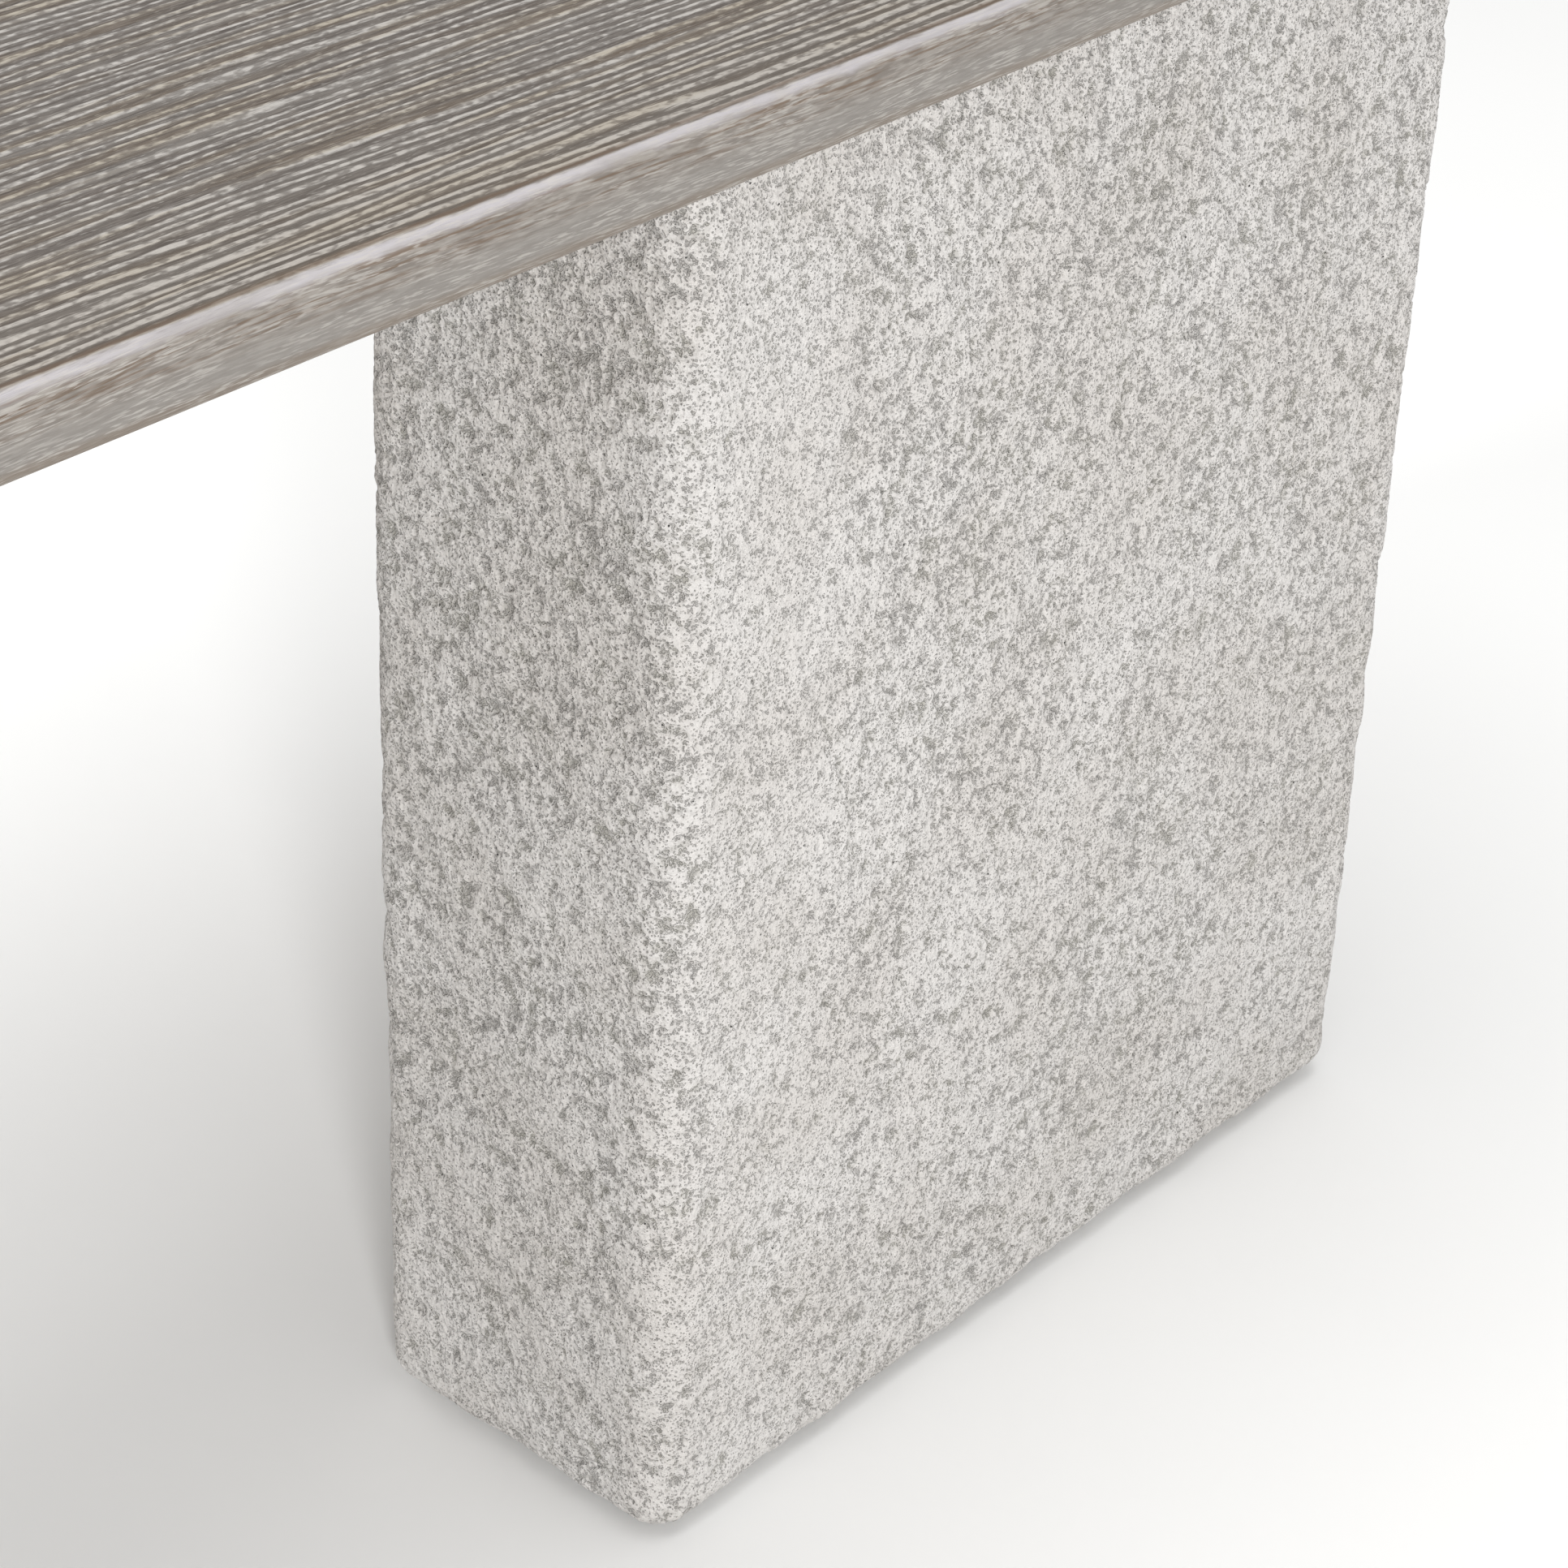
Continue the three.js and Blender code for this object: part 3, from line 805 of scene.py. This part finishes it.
def seat_wood():
    """Brushed grain along X: dark grey-brown ridges, pale wash caught in short pores, and a paler rim that
    is partly worn wash and partly a painted highlight.
    """
    n = Nodes("seat_wood")
    x, _, z = n.split(n.coordinate)
    x_mm = n.math("MULTIPLY", x, 1000)
    z_mm = n.math("MULTIPLY", z, 1000)
    across = n.attribute("across")
    rim = n.attribute("rim")
    lines = n.attribute("lines")

    # The grain drifts a little across the board along its length
    slow = n.combine(n.math("MULTIPLY", x_mm, 0.006), n.math("MULTIPLY", across, 0.03), 0)
    drift = n.math("SUBTRACT", n.noise(slow, 1, 1.0), 0.5)
    v = n.math("MULTIPLY_ADD", drift, 9, across)

    def grain(along, side, detail, roughness, offset):
        """Noise stretched to so many millimetres along the grain and to the side."""
        vector = n.combine(
            n.math("MULTIPLY_ADD", x_mm, 1 / along, offset),
            n.math("MULTIPLY", v, 1 / side),
            n.math("MULTIPLY", z_mm, 0.15),
        )
        return n.noise(vector, 1, detail, roughness)

    bands = grain(380, 14, 2.0, 0.5, 3)
    brown = grain(110, 6, 2.0, 0.5, 11)
    streak = grain(45, 1.5, 2.0, 0.6, 7)
    fibre = grain(9, 0.5, 2.0, 0.6, 5)
    dash = grain(3.4, 1.9, 1.5, 0.55, 1)
    stretch = grain(26, 3.5, 2.0, 0.5, 17)
    between = grain(3.6, 0.7, 1.5, 0.5, 41)

    base = n.mix(n.ramp(bands, 0.38, 0.62), srgb(84, 77, 72), srgb(104, 99, 94))
    base = n.mix(n.ramp(brown, 0.45, 0.64, 0.0, 0.75), base, srgb(94, 81, 67))
    base = n.mix(n.ramp(streak, 0.32, 0.60, 0.7, 0.0), base, srgb(64, 57, 52))
    base = n.mix(n.ramp(fibre, 0.42, 0.70, 0.0, 0.5), base, srgb(132, 125, 118))

    # Browner and duller towards the rim
    near = n.ramp(rim, -50, -5)
    base = n.mix(n.math("MULTIPLY", near, 0.45), base, srgb(84, 75, 65))

    # The wash is caught in short pores along each grain line, and a little of it between the lines
    nudge = n.math("MULTIPLY", n.math("SUBTRACT", fibre, 0.5), 0.5)
    crest = n.math("COSINE", n.math("MULTIPLY", n.math("ADD", lines, nudge), 2 * math.pi))
    line = n.ramp(n.math("MULTIPLY_ADD", near, 0.35, crest), -0.2, 0.95)
    fill = n.math("MULTIPLY_ADD", near, 0.06, n.math("MULTIPLY", dash, 0.75))
    filled = n.ramp(n.math("MULTIPLY_ADD", stretch, 0.45, fill), 0.50, 0.70)
    caught = n.math("MULTIPLY", line, n.math("MULTIPLY_ADD", filled, 0.75, 0.25))
    wash = n.math("MAXIMUM", caught, n.ramp(between, 0.56, 0.74, 0.0, 0.40))
    pale = n.mix(n.ramp(brown, 0.45, 0.65), srgb(181, 177, 172), srgb(172, 164, 150))
    pale = n.mix(n.math("MULTIPLY", near, 0.5), pale, srgb(166, 158, 148))
    color = n.mix(n.math("MULTIPLY", wash, 0.9), base, pale)

    # The rim and the edge under it carry more wash, and the rim also carries a painted highlight.
    on_edge = n.ramp(rim, 0.0, 1.6)
    figure = grain(24, 0.8, 3.0, 0.6, 23)
    smear = grain(7, 1.1, 2.0, 0.5, 29)
    hair = grain(6, 0.45, 2.0, 0.6, 53)
    edge = n.mix(n.ramp(smear, 0.35, 0.65), srgb(124, 117, 110), srgb(150, 144, 137))
    streaky = n.math("MULTIPLY", n.ramp(figure, 0.50, 0.62), n.ramp(rim, 2.6, 4.6))
    streaky = n.math("MULTIPLY", streaky, n.ramp(rim, 8.0, 13.0, 1.0, 0.3))
    edge = n.mix(n.math("MULTIPLY", streaky, 0.75), edge, srgb(108, 89, 72))
    ragged = n.math("MULTIPLY_ADD", n.math("SUBTRACT", smear, 0.5), 3.0, rim)
    # Painted highlight: a pale lavender band along the rounding of the rim. It is partly whiter wash and
    # partly the highlight that the rounding catches.
    wash_and_painted_highlight = n.math("MULTIPLY", n.ramp(ragged, 0.3, 1.8), n.ramp(ragged, 2.6, 5.0, 1.0, 0.0))
    wash_and_painted_highlight = n.math("MULTIPLY", wash_and_painted_highlight, n.ramp(stretch, 0.30, 0.60, 0.55, 0.9))
    edge = n.mix(wash_and_painted_highlight, edge, srgb(181, 177, 180))
    lower = n.ramp(rim, 9.0, 14.0, 0.0, 0.7)
    edge = n.mix(lower, edge, srgb(137, 133, 128))
    foot = n.ramp(rim, 16.5, 19.0, 0.0, 0.7)
    edge = n.mix(foot, edge, srgb(122, 108, 94))
    fleck = n.math("MULTIPLY", n.ramp(hair, 0.48, 0.62), n.ramp(stretch, 0.36, 0.60, 0.15, 0.62))
    edge = n.mix(fleck, edge, srgb(186, 181, 175))
    color = n.mix(on_edge, color, edge)
    # A brown line where the top turns over into the rim. It is partly a dark line in the wood and partly
    # painted shade at the start of the rounding.
    rim_line_and_painted_shade = n.math("MULTIPLY", n.ramp(rim, -1.6, -0.2), n.ramp(rim, 0.0, 1.2, 1.0, 0.0))
    color = n.mix(n.math("MULTIPLY", rim_line_and_painted_shade, 0.7), color, srgb(97, 79, 64))

    height = n.math("MULTIPLY_ADD", wash, -0.4, n.math("MULTIPLY", fibre, 1.0))
    height = n.math("MULTIPLY_ADD", streak, 0.8, height)
    calm = n.ramp(rim, 0.0, 2.0, 1.0, 0.45)
    normal = n.bump(n.math("MULTIPLY", height, calm), 0.5 * MM, 0.8)
    return n.finish(color, n.ramp(on_edge, 0.0, 1.0, 0.62, 0.45), normal, specular=0.4)


def metal(name, color, roughness, metallic):
    """Metal or coated metal with dull clouds and a fine grit."""
    n = Nodes(name)
    cloud = n.noise(n.coordinate, 75, 3.0, 0.6)
    grit = n.noise(n.coordinate, 900, 2.0, 0.5)
    dull = tuple(0.62 * c for c in color)
    tone = n.mix(n.ramp(cloud, 0.35, 0.7), color, dull)
    rough = n.ramp(n.math("ADD", cloud, grit), 0.7, 1.3, roughness - 0.08, roughness + 0.12)
    return n.finish(tone, rough, n.bump(grit, 0.05 * MM, 0.5), metallic)


def sheet(name, pale, dark, scale, roughness):
    """Board, foam or plastic, mottled between two colours with darker grit."""
    n = Nodes(name)
    cloud = n.noise(n.coordinate, scale / 8, 3.0, 0.6)
    grit = n.noise(n.coordinate, scale, 3.0, 0.65)
    tone = n.mix(n.ramp(cloud, 0.35, 0.65), pale, dark)
    tone = n.mix(n.ramp(grit, 0.52, 0.70, 0.0, 0.5), tone, tuple(0.6 * c for c in dark))
    return n.finish(tone, roughness, n.bump(grit, 0.2 * MM, 0.7), specular=0.3)


def batten_wood():
    """Planed pale hardwood, its grain along Y."""
    n = Nodes("batten_wood")
    x, y, z = n.split(n.coordinate)

    def grain(along, side, detail):
        vector = n.combine(
            n.math("MULTIPLY", x, 1000 / side),
            n.math("MULTIPLY", y, 1000 / along),
            n.math("MULTIPLY", z, 1000 / side),
        )
        return n.noise(vector, 1, detail, 0.55)

    tone = n.mix(n.ramp(grain(90, 5, 3.0), 0.35, 0.65), srgb(150, 134, 114), srgb(176, 162, 142))
    tone = n.mix(n.ramp(grain(14, 0.7, 2.0), 0.50, 0.66, 0.0, 0.6), tone, srgb(108, 92, 74))
    return n.finish(tone, 0.6, n.bump(grain(20, 0.8, 2.0), 0.15 * MM, 0.7), specular=0.4)


# ---------------------------------------------------------------- the object

FINE_SIDES = [FINE_STEP] * 2 + [COARSE_STEP] * 4
COARSE_SIDES = [COARSE_STEP] * 6

finishes = {
    "cast_concrete": concrete(),
    "seat_wood": seat_wood(),
    "batten_wood": batten_wood(),
    "coated_steel": metal("coated_steel", srgb(52, 53, 54), 0.5, 0.2),
    "zinc_steel": metal("zinc_steel", srgb(176, 178, 180), 0.35, 1.0),
    "brass": metal("brass", srgb(186, 160, 96), 0.32, 1.0),
    "fibre_cement": sheet("fibre_cement", srgb(160, 158, 152), srgb(140, 138, 133), 700, 0.9),
    "foam": sheet("foam", srgb(236, 236, 232), srgb(222, 222, 218), 300, 0.85),
    "nylon": sheet("nylon", srgb(44, 44, 45), srgb(34, 34, 35), 800, 0.55),
}

# The finish of each CAD node, by the first of these that its name has in it
FINISH_OF = {
    "_screw": "zinc_steel", "_bolt": "zinc_steel", "_sleeve": "brass", "_insert": "brass",
    "_glide": "nylon", "_mounting_plate": "coated_steel", "_base_board": "fibre_cement",
    "_core": "foam", "_shell": "cast_concrete", "batten": "batten_wood", "seat_board": "seat_wood",
}

for node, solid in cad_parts.items():
    slot = next(finish for part, finish in FINISH_OF.items() if part in node)
    solid.material_slots[0].link = "OBJECT"
    solid.material_slots[0].material = finishes[slot]

pieces = [
    leg_shell("cast_leg_right", "leg_right_shell", -1, FINE_SIDES, FINE_STEP, seed=11),
    leg_shell("cast_leg_left", "leg_left_shell", 1, COARSE_SIDES, COARSE_STEP, seed=12),
    seat_board("seat_front", "seat_board_front", -1, step_x=1.8 * MM, step_y=0.6 * MM, seed=21),
    seat_board("seat_rear", "seat_board_rear", 1, step_x=2.4 * MM, step_y=0.9 * MM, seed=22),
]
for piece in pieces:
    piece.data.materials.clear()
    piece.data.materials.append(finishes[piece["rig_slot"]])


# ---------------------------------------------------------------- stage, light and camera

FLOOR_RADIUS = 14
FLOOR_SIDES = 96
WORLD_STRENGTH = 0.55


def stage_floor():
    """A plain pale disc."""
    outline = circle(0, 0, FLOOR_RADIUS, FLOOR_SIDES)
    points = np.c_[outline, np.zeros(FLOOR_SIDES)]
    floor = build_mesh("studio_floor", points, [np.arange(FLOOR_SIDES)[None]])
    n = Nodes("studio_floor")
    mottle = n.noise(n.coordinate, 3, 3.0, 0.5)
    tone = n.mix(mottle, srgb(244, 244, 243), srgb(248, 248, 247))
    floor.data.materials.append(n.finish(tone, 0.9, specular=0.2))


def area_light(name, place, aim, size, power):
    """A round white light of a given diameter at a place, turned towards its aim."""
    light = bpy.data.lights.new(name, "AREA")
    light.shape = "DISK"
    light.size = size
    light.energy = power
    lamp = bpy.data.objects.new(name, light)
    lamp.location = place
    lamp.rotation_euler = (Vector(aim) - Vector(place)).to_track_quat("-Z", "Y").to_euler()
    bpy.context.scene.collection.objects.link(lamp)


stage_floor()
world = bpy.data.worlds.new("studio")
world.use_nodes = True
background = world.node_tree.nodes["Background"]
background.inputs["Color"].default_value = (1, 1, 1, 1)
background.inputs["Strength"].default_value = WORLD_STRENGTH
bpy.context.scene.world = world
area_light("key", (-1.6, -2.4, 1.6), (0.3, 0, 0.3), size=0.5, power=48)
area_light("fill", (-2.8, 0.9, 1.7), (0.2, 0, 0.3), size=0.6, power=38)
area_light("top", (0, 0, 3.2), (0, 0, 0), size=3.0, power=56)

# The camera's place and directions
LENS = 92.1
SENSOR = 36
EYE = Vector((-0.3782, -0.7295, 0.7647))
LOOK = Vector((0.6555, 0.5505, -0.5170))
RIGHT = Vector((0.6581, -0.7522, 0.0336))

camera_data = bpy.data.cameras.new("camera")
camera_data.lens = LENS
camera_data.sensor_width = SENSOR
camera_data.clip_start = 0.05
camera_data.clip_end = 60
camera = bpy.data.objects.new("camera", camera_data)
back = -LOOK.normalized()
side = (RIGHT - back * RIGHT.dot(back)).normalized()
up = back.cross(side)
camera.matrix_world = Matrix.Translation(EYE) @ Matrix((side, up, back)).transposed().to_4x4()
bpy.context.scene.collection.objects.link(camera)
bpy.context.scene.camera = camera
bpy.context.scene.view_settings.view_transform = "Standard"
